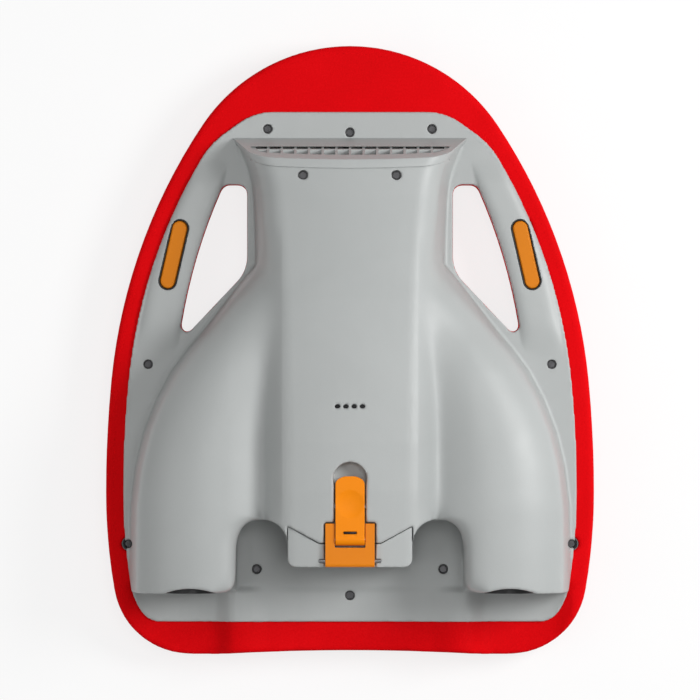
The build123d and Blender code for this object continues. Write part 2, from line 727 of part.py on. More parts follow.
def duct_form(grow):
    """Lofted water path from half of the mouth round to the pump."""
    lean = math.radians(MOUTH_LEAN)
    back = MOUTH_Y - BEZEL_DEPTH - (HULL_WALL + SOFT_GAP) / math.cos(lean)
    mouth_y = back - (DUCT_MOUTH_Z - PLATE_Z) * math.tan(lean)
    mouth = Plane(
        origin=(DUCT_MOUTH_X, mouth_y, DUCT_MOUTH_Z),
        x_dir=(1, 0, 0),
        z_dir=(0, math.cos(lean), math.sin(lean)),
    )
    faces = [mouth * Ellipse(DUCT_MOUTH_HALF + grow, DUCT_MOUTH_RISE + grow)]
    for y, x, z, half, rise in DUCT_SECTIONS:
        plane = Plane(origin=(x, y, z), x_dir=(1, 0, 0), z_dir=(0, 1, 0))
        faces.append(plane * Ellipse(half + grow, rise + grow))
    end = Plane(origin=(PUMP_X, PUMP_FRONT_Y, PUMP_Z), x_dir=(1, 0, 0), z_dir=(0, 1, 0))
    faces.append(end * Ellipse(PUMP_BORE + grow, PUMP_BORE + grow))
    return loft(faces, ruled=True)


def intake_duct():
    x, y = ROOF_SCREW
    boss = post(x, y, DUCT_MOUTH_Z, ROOF_BOSS_Z, BOSS_RADIUS)
    bore = duct_form(0)
    duct = duct_form(DUCT_WALL) + boss - bore
    return duct - post(x, y, DUCT_MOUTH_Z + DUCT_MOUTH_RISE, CEILING_Z, SCREW_RADIUS + SHAFT_RUN_GAP)


# ---- Pump --------------------------------------------------------------------------------------
def spun(profile_points):
    """Solid of revolution about the pump axis; points are (place along Y, radius)."""
    face = make_face(Polyline([(radius, y) for y, radius in profile_points], close=True))
    return Pos(PUMP_X, 0, PUMP_Z) * revolve(face, Axis.Y)


def pump_housing():
    outer = PUMP_BORE + PUMP_WALL
    tube = rod_along_y(PUMP_X, PUMP_Z, PUMP_REAR_Y, PUMP_FRONT_Y, outer)
    return tube - rod_along_y(PUMP_X, PUMP_Z, PUMP_REAR_Y, PUMP_FRONT_Y, PUMP_BORE)


def jet_nozzle():
    return spun(
        [
            (PUMP_REAR_Y, PUMP_BORE),
            (PUMP_REAR_Y, PUMP_BORE + PUMP_WALL),
            (NACELLE_REAR_Y + HULL_WALL + OUTLET_SCOOP_DEPTH, NOZZLE_BORE + DUCT_WALL),
            (NOZZLE_REAR_Y, NOZZLE_BORE + DUCT_WALL),
            (NOZZLE_REAR_Y, NOZZLE_BORE),
            (NACELLE_REAR_Y + HULL_WALL + OUTLET_SCOOP_DEPTH, NOZZLE_BORE),
        ]
    )


def stator():
    """Motor pod carried on flat vanes inside the pump housing."""
    pod = spun(
        [
            (POD_FRONT_Y, 0),
            (POD_FRONT_Y, POD_RADIUS),
            (POD_BODY_REAR_Y, POD_RADIUS),
            (POD_TIP_Y, POD_RADIUS / 4),
            (POD_TIP_Y, 0),
        ]
    )
    reach = PUMP_BORE - FIT_GAP / 2
    vane = block(0, reach, VANE_FRONT_Y - VANE_LENGTH, VANE_FRONT_Y, -VANE_THICK / 2, VANE_THICK / 2)
    for i in range(VANE_COUNT):
        pod = pod + Pos(PUMP_X, 0, PUMP_Z) * Rot(0, 360.0 * i / VANE_COUNT + 90, 0) * vane
    pod = pod & rod_along_y(PUMP_X, PUMP_Z, POD_TIP_Y - 1, POD_FRONT_Y + 1, reach)
    chamber = POD_FRONT_Y - POD_NOSE_THICK
    pod = pod - rod_along_y(PUMP_X, PUMP_Z, POD_BODY_REAR_Y, chamber, POD_RADIUS - POD_WALL)
    return pod - rod_along_y(PUMP_X, PUMP_Z, chamber, 0, BEARING_RADIUS + SHAFT_RUN_GAP)


def motor():
    chamber = POD_FRONT_Y - POD_NOSE_THICK
    can = rod_along_y(PUMP_X, PUMP_Z, POD_BODY_REAR_Y, chamber, POD_RADIUS - POD_WALL - FIT_GAP / 2)
    return can - rod_along_y(PUMP_X, PUMP_Z, SHAFT_REAR_Y - 1, 0, SHAFT_RADIUS + FIT_GAP)


def shaft_bearing():
    rear = POD_FRONT_Y - POD_NOSE_THICK
    ring = rod_along_y(PUMP_X, PUMP_Z, rear, POD_FRONT_Y, BEARING_RADIUS)
    return ring - rod_along_y(PUMP_X, PUMP_Z, rear, POD_FRONT_Y, SHAFT_RADIUS + SHAFT_RUN_GAP)


def pump_shaft():
    return rod_along_y(PUMP_X, PUMP_Z, SHAFT_REAR_Y, SPINNER_FRONT_Y - HUB_RADIUS / 2, SHAFT_RADIUS)


def blade():
    """Twisted blade: steeper at the tip than at the root."""
    middle = (HUB_FRONT_Y + HUB_REAR_Y) / 2
    faces = []
    for radius, pitch in ((HUB_RADIUS * 0.6, BLADE_ROOT_PITCH), (PUMP_BORE, BLADE_TIP_PITCH)):
        plane = Plane(origin=(0, middle, radius), x_dir=(0, 1, 0), z_dir=(0, 0, 1))
        faces.append(plane * Rot(0, 0, pitch) * Rectangle(BLADE_LENGTH, BLADE_THICK))
    return loft(faces)


def impeller():
    hub = rod_along_y(PUMP_X, PUMP_Z, HUB_REAR_Y, HUB_FRONT_Y, HUB_RADIUS)
    for i in range(BLADE_COUNT):
        hub = hub + Pos(PUMP_X, 0, PUMP_Z) * Rot(0, 360.0 * i / BLADE_COUNT, 0) * blade()
    hub = hub & rod_along_y(PUMP_X, PUMP_Z, HUB_REAR_Y, HUB_FRONT_Y, PUMP_BORE - BLADE_TIP_GAP)
    return hub - rod_along_y(PUMP_X, PUMP_Z, -FAR, 0, SHAFT_RADIUS + SHAFT_RUN_GAP)


def spinner():
    cone = spun(
        [
            (HUB_FRONT_Y, 0),
            (HUB_FRONT_Y, HUB_RADIUS),
            ((HUB_FRONT_Y + SPINNER_FRONT_Y) / 2, HUB_RADIUS * 0.8),
            (SPINNER_FRONT_Y, HUB_RADIUS * 0.3),
            (SPINNER_FRONT_Y, 0),
        ]
    )
    tip = SPINNER_FRONT_Y - HUB_RADIUS / 2
    return cone - rod_along_y(PUMP_X, PUMP_Z, -FAR, tip + SHAFT_RUN_GAP, SHAFT_RADIUS + SHAFT_RUN_GAP)


# ---- Battery bay -------------------------------------------------------------------------------
def case_box(grow, y0, y1):
    """Rounded box along the board with the battery case's section, grown all round."""
    height = CASE_HIGH_Z - CASE_LOW_Z
    face = RectangleRounded(2 * (CASE_HALF + grow), height + 2 * grow, CASE_CORNER + grow)
    plane = Plane(origin=(0, y1, (CASE_HIGH_Z + CASE_LOW_Z) / 2), x_dir=(1, 0, 0), z_dir=(0, -1, 0))
    return extrude(plane * face, y1 - y0)


def contact_places():
    z = (CASE_LOW_Z + CASE_HIGH_Z) / 2
    return [(-PIN_PITCH / 2, z), (PIN_PITCH / 2, z)]


def battery_bay():
    outer = case_box(SLIDE_GAP + BAY_WALL, BAY_REAR_Y, BAY_FRONT_Y + BAY_WALL)
    return outer - case_box(SLIDE_GAP, BAY_REAR_Y, BAY_FRONT_Y)


def bay_contacts():
    middle = (CASE_LOW_Z + CASE_HIGH_Z) / 2
    low = middle - TERMINAL_HEIGHT / 2
    rear = CASE_FRONT_Y + FIT_GAP
    base = block(-TERMINAL_HALF, TERMINAL_HALF, rear, BAY_FRONT_Y, low, low + TERMINAL_HEIGHT)
    for x, z in contact_places():
        base = base + rod_along_y(x, z, CASE_FRONT_Y - PIN_REACH, rear, PIN_RADIUS)
    return base


def terminal_block(grow):
    middle = (CASE_LOW_Z + CASE_HIGH_Z) / 2
    half = TERMINAL_HALF + grow
    low = middle - TERMINAL_HEIGHT / 2 - grow
    high = middle + TERMINAL_HEIGHT / 2 + grow
    return block(-half, half, CASE_FRONT_Y - TERMINAL_LENGTH, CASE_FRONT_Y, low, high)


def battery_terminals():
    body = terminal_block(0)
    for x, z in contact_places():
        body = body - rod_along_y(x, z, CASE_FRONT_Y - PIN_REACH - 1, 0, PIN_RADIUS + PIN_GAP)
    return body


def battery_case():
    case = case_box(0, CASE_REAR_Y, CASE_FRONT_Y)
    case = case - case_box(-CASE_WALL, CASE_REAR_Y, CASE_FRONT_Y - CASE_WALL)
    groove = case_box(1, SEAL_Y, SEAL_Y + SEAL_WIDTH) - case_box(-SEAL_DEPTH, SEAL_Y, SEAL_Y + SEAL_WIDTH)
    return case - groove - terminal_block(0)


def cap_seal():
    ring = case_box(SOFT_GAP, SEAL_Y, SEAL_Y + SEAL_WIDTH)
    return ring - case_box(-SEAL_DEPTH, SEAL_Y, SEAL_Y + SEAL_WIDTH)


def battery_board():
    front = CASE_FRONT_Y - TERMINAL_LENGTH
    half = BATTERY_BOARD_HALF
    low = CASE_LOW_Z + CASE_WALL + BATTERY_BOARD_EDGE
    high = CASE_HIGH_Z - CASE_WALL - BATTERY_BOARD_EDGE
    return block(-half, half, front - BOARD_THICK, front, low, high)


def battery_cells():
    """Stack of flat cells between the board and the cap."""
    pitch = CELL_THICK + CELL_GAP
    front = CASE_FRONT_Y - TERMINAL_LENGTH - BOARD_THICK
    low = CASE_LOW_Z + CASE_WALL
    high = CASE_HIGH_Z - CASE_WALL
    cells = Part()
    for i in range(CELL_COUNT):
        plane = Plane(origin=(0, front - i * pitch, (low + high) / 2), x_dir=(1, 0, 0), z_dir=(0, -1, 0))
        cell = RectangleRounded(2 * CELL_HALF, high - low, CASE_CORNER - CASE_WALL)
        cells = cells + extrude(plane * cell, CELL_THICK)
    return cells


def battery_cap():
    half = CAP_HALF - CAP_GAP
    plan = make_face(
        Polyline(
            [
                (-half, CAP_REAR_Y),
                (-half, BODY_CORNER_Y - CAP_GAP),
                (-BAY_LIP_HALF, BODY_REAR_Y - CAP_GAP),
                (BAY_LIP_HALF, BODY_REAR_Y - CAP_GAP),
                (half, BODY_CORNER_Y - CAP_GAP),
                (half, CAP_REAR_Y),
            ],
            close=True,
        )
    )
    plan = fillet(plan.vertices().group_by(Axis.Y)[0], CAP_CORNER)
    cap = rise_face(plan, CAP_LOW_Z, CEILING_Z) & body_form(CAP_TOP_DROP)
    cap = cap - case_box(0, CASE_REAR_Y, FAR)
    cap = cap - case_box(-2 * CASE_WALL, CAP_REAR_Y + CAP_WALL, CASE_REAR_Y)
    frame_half = FRAME_HALF + SIDE_GAP
    cap = cap - block(-frame_half, frame_half, -FAR, 0, POCKET_FLOOR_Z, CEILING_Z)
    return cap - bar_along_x(FRAME_PIN_HALF, FRAME_PIVOT_Y, FRAME_PIVOT_Z, LATCH_PIN_RADIUS)


# ---- Latch -------------------------------------------------------------------------------------
def frame_pin():
    return bar_along_x(FRAME_PIN_HALF, FRAME_PIVOT_Y, FRAME_PIVOT_Z, LATCH_PIN_RADIUS)


def latch_frame():
    """U-shaped frame: two ears for the lever pin and a hinge edge on the cap."""
    frame = block(-FRAME_HALF, FRAME_HALF, CAP_REAR_Y, FRAME_FRONT_Y, FRAME_LOW_Z, FRAME_TOP_Z)
    frame = fillet(frame.edges().filter_by(Axis.X).group_by(Axis.Y)[0], 3.0)
    notch = LEVER_WIDTH / 2 + SIDE_GAP / 2
    frame = frame - block(-notch, notch, FRAME_NOTCH_Y, 0, 0, CEILING_Z)
    frame = frame - bar_along_x(FAR, FRAME_PIVOT_Y, FRAME_PIVOT_Z, LATCH_PIN_RADIUS + LATCH_RUN_GAP)
    return frame - bar_along_x(FRAME_HALF, LEVER_PIVOT_Y, LEVER_PIVOT_Z, LATCH_PIN_RADIUS)


def lever_pin():
    return bar_along_x(FRAME_HALF, LEVER_PIVOT_Y, LEVER_PIVOT_Z, LATCH_PIN_RADIUS)


def latch_lever():
    """Pull lever: round tail on its pin, shallow thumb dish, and a tooth that holds the keeper."""
    half = LEVER_WIDTH / 2
    plate = block(-half, half, LEVER_PIVOT_Y, LEVER_FRONT_Y, LEVER_LOW_Z, LEVER_TOP_Z)
    corners = plate.edges().filter_by(Axis.Z).group_by(Axis.Y)[-1]
    plate = fillet(corners, LEVER_CORNER)
    lever = plate + bar_along_x(half, LEVER_PIVOT_Y, LEVER_PIVOT_Z, LEVER_TAIL_RADIUS)
    dish = Pos(0, DISH_Y, LEVER_TOP_Z - DISH_DEPTH + DISH_RADIUS) * Sphere(DISH_RADIUS)
    slot = Pos(0, LEVER_SLOT_Y) * SlotOverall(LEVER_SLOT_LENGTH, LEVER_SLOT_WIDTH)
    lever = lever - dish - rise_face(slot, LEVER_TOP_Z - DISH_DEPTH, CEILING_Z)
    rear = KEEPER_Y + KEEPER_THICK / 2 + TOOTH_GAP
    low = POCKET_FLOOR_Z + TOOTH_GAP
    lever = lever + block(-TOOTH_HALF, TOOTH_HALF, rear, rear + TOOTH_THICK, low, LEVER_LOW_Z)
    return lever - bar_along_x(FAR, LEVER_PIVOT_Y, LEVER_PIVOT_Z, LATCH_PIN_RADIUS + LATCH_RUN_GAP)


def latch_keeper():
    half = LEVER_WIDTH / 2 + SIDE_GAP
    y0 = KEEPER_Y - KEEPER_THICK / 2
    return block(-half, half, y0, y0 + KEEPER_THICK, POCKET_FLOOR_Z, POCKET_FLOOR_Z + KEEPER_HEIGHT)


# ---- Triggers ----------------------------------------------------------------------------------
def trigger():
    top = PLATE_Z + TRIGGER_PROUD
    flange_top = FOAM_TOP_Z - SOFT_GAP
    flange_low = flange_top - TRIGGER_FLANGE_THICK
    pill = rise_face(SlotOverall(TRIGGER_LENGTH, TRIGGER_WIDTH), flange_low, top)
    pill = fillet(pill.faces().sort_by(Axis.Z)[-1].edges(), TRIGGER_EDGE)
    spread = 2 * TRIGGER_FLANGE
    flange = rise_face(SlotOverall(TRIGGER_LENGTH + spread, TRIGGER_WIDTH + spread), flange_low, flange_top)
    return trigger_place(pill + flange)


def trigger_switch():
    top = FOAM_TOP_Z - SOFT_GAP - TRIGGER_FLANGE_THICK - TRIGGER_TRAVEL - SWITCH_GAP
    floor = TRAY_FLOOR_Z + TRAY_WALL
    return trigger_place(rise_face(RectangleRounded(SWITCH_LENGTH, SWITCH_WIDTH, SWITCH_CORNER), floor, top))


# ---- Indicator, controller, screws ---------------------------------------------------------------
def indicator_lenses():
    bar_top = POCKET_FLOOR_Z + 2 * LAMP_BAR_THICK
    bar = rise_face(Pos(0, LAMP_Y) * Rectangle(LAMP_BAR_LENGTH, LAMP_BAR_WIDTH), bar_top, CEILING_Z)
    bar = bar & body_form(HULL_WALL + FIT_GAP)
    for x, y in lamp_places():
        lens = rise_face(Pos(x, y) * SlotOverall(LAMP_LENGTH, LAMP_WIDTH), bar_top, CEILING_Z)
        bar = bar + (lens & body_form(FIT_GAP))
    return bar


def indicator_board():
    top = POCKET_FLOOR_Z + 2 * LAMP_BAR_THICK
    board = Pos(0, LAMP_Y) * Rectangle(LAMP_BOARD_LENGTH, LAMP_BOARD_WIDTH)
    return rise_face(board, top - BOARD_THICK, top)


def controller_plan(inset):
    length = CONTROLLER_FRONT_Y - CONTROLLER_REAR_Y - 2 * inset
    middle = (CONTROLLER_FRONT_Y + CONTROLLER_REAR_Y) / 2
    width = 2 * (CONTROLLER_HALF - inset)
    return Pos(0, middle) * RectangleRounded(width, length, CONTROLLER_CORNER - inset)


def controller_case():
    box = rise_face(controller_plan(0), CONTROLLER_LOW_Z, CONTROLLER_SPLIT_Z)
    return box - rise_face(controller_plan(CONTROLLER_WALL), CONTROLLER_LOW_Z + CONTROLLER_WALL, CEILING_Z)


def controller_lid():
    """Finned heat-sink lid."""
    lid = rise_face(controller_plan(0), CONTROLLER_SPLIT_Z, CONTROLLER_HIGH_Z)
    pitch = 2 * CONTROLLER_HALF / CONTROLLER_FINS
    for i in range(CONTROLLER_FINS):
        x = -CONTROLLER_HALF + i * pitch + FIN_THICK
        low = CONTROLLER_HIGH_Z - FIN_DEPTH
        slot_end = x + pitch - FIN_THICK
        lid = lid - block(x, slot_end, CONTROLLER_REAR_Y - 1, CONTROLLER_FRONT_Y + 1, low, CEILING_Z)
    return lid


def screw(x, y, seat, length):
    head = post(x, y, seat, seat + SCREW_HEAD_HEIGHT, SCREW_HEAD_RADIUS)
    top = seat + SCREW_HEAD_HEIGHT
    arm = SCREW_HEAD_RADIUS - 2 * DRIVE_WIDTH
    wide = block(x - arm, x + arm, y - DRIVE_WIDTH / 2, y + DRIVE_WIDTH / 2, top - DRIVE_DEPTH, top)
    tall = block(x - DRIVE_WIDTH / 2, x + DRIVE_WIDTH / 2, y - arm, y + arm, top - DRIVE_DEPTH, top)
    return head - wide - tall + post(x, y, seat - length, seat, SCREW_RADIUS)


def hull_screws():
    screws = Part()
    for x, y in screw_places():
        screws = screws + screw(x, y, HEAD_SEAT_Z, HEAD_SEAT_Z - TRAY_FLOOR_Z - TRAY_WALL - 1)
    seat = ROOF_BOSS_Z + HULL_WALL
    for x, y in roof_screw_places():
        screws = screws + screw(x, y, seat, seat - DUCT_MOUTH_Z - DUCT_MOUTH_RISE - DUCT_WALL)
    return screws


# ---- Assembly ----------------------------------------------------------------------------------
HULL_FACE = hull_outline(0)
HOLE_FACE = hand_hole()
DOME_OUTER = dome_form(0)
DOME_INNER = dome_form(HULL_WALL)
TAIL_OUTER = tail_cutter(0)

SINGLES = {
    "foam_deck": foam_deck,
    "deck_tray": deck_tray,
    "hull_shell": hull_shell,
    "intake_bezel": intake_bezel,
    "intake_grille": intake_grille,
    "battery_bay": battery_bay,
    "bay_contacts": bay_contacts,
    "battery_case": battery_case,
    "battery_cap": battery_cap,
    "cap_seal": cap_seal,
    "battery_cells": battery_cells,
    "battery_board": battery_board,
    "battery_terminals": battery_terminals,
    "frame_pin": frame_pin,
    "latch_frame": latch_frame,
    "lever_pin": lever_pin,
    "latch_lever": latch_lever,
    "latch_keeper": latch_keeper,
    "indicator_lenses": indicator_lenses,
    "indicator_board": indicator_board,
    "controller_case": controller_case,
    "controller_lid": controller_lid,
    "hull_screws": hull_screws,
}
PAIRS = {
    "intake_duct": intake_duct,
    "pump_housing": pump_housing,
    "jet_nozzle": jet_nozzle,
    "stator": stator,
    "motor": motor,
    "shaft_bearing": shaft_bearing,
    "pump_shaft": pump_shaft,
    "impeller": impeller,
    "spinner": spinner,
    "trigger": trigger,
    "trigger_switch": trigger_switch,
}

os.makedirs("parts", exist_ok=True)
for name, make in SINGLES.items():
    export_step(make(), f"parts/{name}.step")
for name, make in PAIRS.items():
    right = make()
    export_step(right, f"parts/{name}_right.step")
    export_step(other_side(right), f"parts/{name}_left.step")
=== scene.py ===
"""Looks of a jet-powered bodyboard: foam and hull skins, procedural materials, floor, light and camera."""
import json
import math

import bmesh
import bpy
import numpy as np
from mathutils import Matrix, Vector

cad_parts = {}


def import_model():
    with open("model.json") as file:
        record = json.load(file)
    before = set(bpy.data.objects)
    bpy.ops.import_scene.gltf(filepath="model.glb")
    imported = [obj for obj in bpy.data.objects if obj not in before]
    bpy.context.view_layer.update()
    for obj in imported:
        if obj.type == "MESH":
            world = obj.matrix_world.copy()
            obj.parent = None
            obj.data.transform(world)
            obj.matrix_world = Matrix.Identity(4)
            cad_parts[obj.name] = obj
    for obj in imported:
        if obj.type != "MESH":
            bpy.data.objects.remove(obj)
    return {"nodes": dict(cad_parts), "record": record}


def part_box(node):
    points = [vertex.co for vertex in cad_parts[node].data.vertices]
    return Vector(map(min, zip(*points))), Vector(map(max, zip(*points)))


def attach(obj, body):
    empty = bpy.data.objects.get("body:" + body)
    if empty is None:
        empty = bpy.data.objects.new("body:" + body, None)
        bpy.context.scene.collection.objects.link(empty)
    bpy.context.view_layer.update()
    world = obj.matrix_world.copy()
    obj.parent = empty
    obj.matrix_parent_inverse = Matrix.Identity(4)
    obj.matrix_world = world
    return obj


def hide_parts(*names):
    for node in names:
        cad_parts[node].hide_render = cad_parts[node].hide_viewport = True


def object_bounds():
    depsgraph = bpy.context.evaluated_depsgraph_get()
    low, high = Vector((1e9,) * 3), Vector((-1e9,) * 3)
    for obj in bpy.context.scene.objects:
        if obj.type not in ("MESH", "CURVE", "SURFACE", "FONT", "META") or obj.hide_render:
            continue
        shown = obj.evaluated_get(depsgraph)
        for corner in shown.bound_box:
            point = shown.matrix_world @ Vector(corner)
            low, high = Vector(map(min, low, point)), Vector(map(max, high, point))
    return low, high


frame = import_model()
cad_low, cad_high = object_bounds()
nodes = frame["nodes"]
lever_low, lever_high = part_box("latch_lever")

# ---- Sizes, in metres --------------------------------------------------------------------------------
SIDES = {"right": 1, "left": -1}
SQUARE = ((-1, -1), (1, -1), (1, 1), (-1, 1))
WELD_DISTANCE = 1e-6

# Voxels of the skins' even meshes, and the rounds of smoothing that roll their edges
FOAM_VOXEL = 0.0025
HULL_VOXEL = 0.0014
CAP_VOXEL = 0.0009
SMALL_VOXEL = 0.0005
FOAM_ROUNDS = 6
HULL_ROUNDS = 5
CAP_ROUNDS = 4
FRAME_ROUNDS = 5
LEVER_ROUNDS = 24
TRIGGER_ROUNDS = 6
TAUBIN_STEPS = (0.55, -0.57)

# Zones of the board. Each band is (axis, where it starts, where it is full); x counts from the middle.
# The valley between the body and each nacelle, its rear end beside the battery, and each nacelle's top:
VALLEY = (
    ("x", 0.066, 0.074), ("x", 0.128, 0.104),
    ("y", 0.125, 0.100), ("y", -0.166, -0.152),
    ("z", 0.062, 0.078),
)
ARCH = (
    ("x", 0.086, 0.098), ("x", 0.136, 0.118),
    ("y", -0.160, -0.180),
    ("z", 0.052, 0.060),
)
CREST = (
    ("x", 0.098, 0.112),
    ("y", 0.110, 0.085), ("y", -0.228, -0.216),
    ("z", 0.060, 0.072),
)
# The tail plate behind the nacelles, and its channels, its middle trough and the ridges between them:
TAIL = (
    ("y", -0.232, -0.240),
    ("z", 0.060, 0.050), ("z", 0.012, 0.030),
)
CHANNEL = (("x", 0.117, 0.142), ("x", 0.222, 0.200))
TROUGH = (("x", 0.090, 0.050),)
RIDGE = (("x", 0.078, 0.108), ("x", 0.134, 0.116))
# The hull's plate beside the hand holes:
HANDLE = (
    ("y", -0.010, 0.030), ("y", 0.190, 0.160),
    ("z", 0.056, 0.0505), ("z", 0.044, 0.0455),
)

# Wide fillets of the hull
FILLET_ROUNDS = 240
FILLET_STEP = 0.6
CREST_SHARE = 0.35

# Tail: how much deeper the channels and the trough get, and how much higher the ridges
CHANNEL_EXTRA = 0.0026
TROUGH_EXTRA = 0.0014
RIDGE_EXTRA = 0.0045

# Handle bars: (y, x) along the board's rim and along the hand hole's outer edge
HANDLE_CROWN = 0.004
CROWN_POWER = 4
RIM_PLAN = ((0.0, 0.211), (0.03, 0.206), (0.075, 0.196), (0.12, 0.181), (0.165, 0.160), (0.19, 0.147))
HOLE_PLAN = (
    (0.0, 0.172), (0.006, 0.169), (0.05, 0.162), (0.092, 0.1515),
    (0.13, 0.139), (0.163, 0.125), (0.19, 0.118),
)

# Lever: its round nose, and the dark pad in its slot that is painted shade of the slot, placed from its
# rear end and its top
NOSE_DEPTH = 0.008
NOSE_SHARE = 0.72
SHADE_PAD_LENGTH = 0.0125
SHADE_PAD_WIDTH = 0.0022
SHADE_PAD_THICK = 0.0014
SHADE_PAD_FROM_REAR = 0.0125
SHADE_PAD_SINK = 0.0012

# Triggers: the pill, its lean in degrees, and a depth from its top that stays above the flange;
# then the room that the flange moves in
PILL_LENGTH = 0.068
PILL_WIDTH = 0.015
PILL_LEAN = 13.0
PILL_TOP = 0.004
ROOM_REACH = 0.0145
ROOM_LOW = 0.030
ROOM_HIGH = 0.0442
ROOM_EXTRA = 0.0025

# Black ring round each trigger, painted shade of the gap round it: its section is (distance from the pill,
# height over the bar)
SHADE_RING_STEPS = 120
SHADE_RING_PROBE = 0.0024
SHADE_RING_PROFILE = (
    (0.00045, -0.0015), (0.00045, 0.0001), (0.0008, 0.0004),
    (0.0015, 0.0004), (0.0019, 0.0), (0.0019, -0.0015),
)

# Black cup lining each screw's recess, painted shade: the hull's height is probed beside it at four angles,
# in radians
CUP_STEPS = 40
CUP_INNER = 0.0034
CUP_OUTER = 0.0049
CUP_NARROW = 0.0042
CUP_WALL = 0.0005
CUP_SKIRT = 0.0012
CUP_EDGE = 0.0003
CUP_INNER_EDGE = 0.0004
CUP_PROUD = 0.0001
CUP_FLOOR = 0.0006
CUP_FLAT = 0.003
CUP_PROBE = 0.0062
CUP_PROBE_ANGLES = (0.4, 2.0, 3.6, 5.2)
PROBE_START = 0.3

# Edges of the lip round the intake mouth
BEZEL_WELD = 1e-5
BEZEL_EDGE = 0.001
BEZEL_SEGMENTS = 3
BEZEL_ANGLE = 35.0

# Floor, light and camera; the view is square, and VIEW_SIDE wide at the height of AIM
FLOOR_HALF = 4.0
FLOOR_GAP = 0.0005
FLOOR_GLOW = 0.8
WORLD_STRENGTH = 0.3
AIM = (0, 0, 0.05)
CAMERA_HEIGHT = 8.0
VIEW_SIDE = 0.69
SENSOR_WIDTH_MM = 36.0

# ---- Colours, in linear light --------------------------------------------------------------------------
WHITE = (1, 1, 1)
FOAM_DARK = (0.62, 0.0004, 0.002)
FOAM_RED = (0.69, 0.0006, 0.003)
FOAM_LIGHT = (0.75, 0.002, 0.005)
FLOOR_DARK = (0.88, 0.88, 0.88)
FLOOR_LIGHT = (0.9, 0.9, 0.9)
PLASTICS = {
    "hull_plastic": dict(colour=(0.405, 0.422, 0.418), rough=0.46, grain=1100.0, depth=0.00007, vary=0.035),
    "tray_plastic": dict(colour=(0.12, 0.12, 0.125), rough=0.55),
    "black_plastic": dict(colour=(0.02, 0.02, 0.021), rough=0.45),
    "case_plastic": dict(colour=(0.035, 0.036, 0.038), rough=0.4),
    "seal_rubber": dict(colour=(0.012, 0.012, 0.012), rough=0.62, grain=300.0),
    "cell_wrap": dict(colour=(0.03, 0.14, 0.38), rough=0.25, grain=200.0, depth=0.00002, vary=0.1),
    "circuit_board": dict(colour=(0.01, 0.11, 0.04), rough=0.35, grain=500.0, depth=0.00003, vary=0.2),
    "frame_orange": dict(colour=(0.74, 0.215, 0.006), rough=0.46, vary=0.05, specular=0.16),
    "lever_orange": dict(colour=(0.88, 0.25, 0.002), rough=0.44, vary=0.05, specular=0.12),
    "trigger_orange": dict(colour=(0.66, 0.2, 0.008), rough=0.46, vary=0.05, specular=0.12),
    "lens_plastic": dict(
        colour=(0.006, 0.006, 0.007), rough=0.3, grain=200.0, depth=0.00001, vary=0.1, specular=0.1,
    ),
    "motor_can": dict(colour=(0.07, 0.07, 0.075), rough=0.35, grain=400.0),
    "impeller_plastic": dict(colour=(0.05, 0.05, 0.052), rough=0.38),
}
METALS = {
    "pin_steel": dict(colour=(0.3, 0.3, 0.31), rough=0.4),
    "screw_steel": dict(colour=(0.05, 0.05, 0.052), rough=0.3),
    "heat_sink": dict(colour=(0.55, 0.56, 0.58), rough=0.38, stretch=(1, 40, 1)),
}


# ---- Node trees ----------------------------------------------------------------------------------------
def new_material(name):
    """An empty material with one shader."""
    mat = bpy.data.materials.new(name)
    mat.use_nodes = True
    tree = mat.node_tree
    tree.nodes.clear()
    out = tree.nodes.new("ShaderNodeOutputMaterial")
    shader = tree.nodes.new("ShaderNodeBsdfPrincipled")
    tree.links.new(shader.outputs["BSDF"], out.inputs["Surface"])
    return mat, tree, shader


def coordinates(tree):
    """The object's own coordinates, from one node for the whole tree."""
    for node in tree.nodes:
        if node.bl_idname == "ShaderNodeTexCoord":
            return node.outputs["Object"]
    return tree.nodes.new("ShaderNodeTexCoord").outputs["Object"]


def noise(tree, scale, detail, roughness, distortion=0.0, vector=None):
    """Soft noise about 0.5."""
    node = tree.nodes.new("ShaderNodeTexNoise")
    node.inputs["Scale"].default_value = scale
    node.inputs["Detail"].default_value = detail
    node.inputs["Roughness"].default_value = roughness
    node.inputs["Distortion"].default_value = distortion
    tree.links.new(vector or coordinates(tree), node.inputs["Vector"])
    return node.outputs["Fac"]


def cells(tree, scale):
    """Rounded cells, as distances from their middles."""
    node = tree.nodes.new("ShaderNodeTexVoronoi")
    node.feature = "SMOOTH_F1"
    node.inputs["Scale"].default_value = scale
    tree.links.new(coordinates(tree), node.inputs["Vector"])
    return node.outputs["Distance"]


def ramp(tree, value, stops):
    """Colour by value; stops are (value, colour), lowest first."""
    node = tree.nodes.new("ShaderNodeValToRGB")
    for element, (place, colour) in zip(node.color_ramp.elements, (stops[0], stops[-1])):
        element.position = place
        element.color = (*colour, 1)
    for place, colour in stops[1:-1]:
        node.color_ramp.elements.new(place).color = (*colour, 1)
    tree.links.new(value, node.inputs["Fac"])
    return node.outputs["Color"]


def spread(tree, value, low, high):
    """A value from 0 to 1 spread from low to high."""
    node = tree.nodes.new("ShaderNodeMapRange")
    node.inputs["To Min"].default_value = low
    node.inputs["To Max"].default_value = high
    tree.links.new(value, node.inputs["Value"])
    return node.outputs["Result"]


def combine(tree, first, second, operation="ADD"):
    """Two sockets or numbers put through one sum."""
    node = tree.nodes.new("ShaderNodeMath")
    node.operation = operation
    for socket, value in zip(node.inputs, (first, second)):
        if isinstance(value, (int, float)):
            socket.default_value = value
        else:
            tree.links.new(value, socket)
    return node.outputs["Value"]


def mixed(tree, first, second, share):
    """Two sockets mixed, with the first's share."""
    return combine(
        tree,
        combine(tree, first, share, "MULTIPLY"),
        combine(tree, second, 1 - share, "MULTIPLY"),
    )


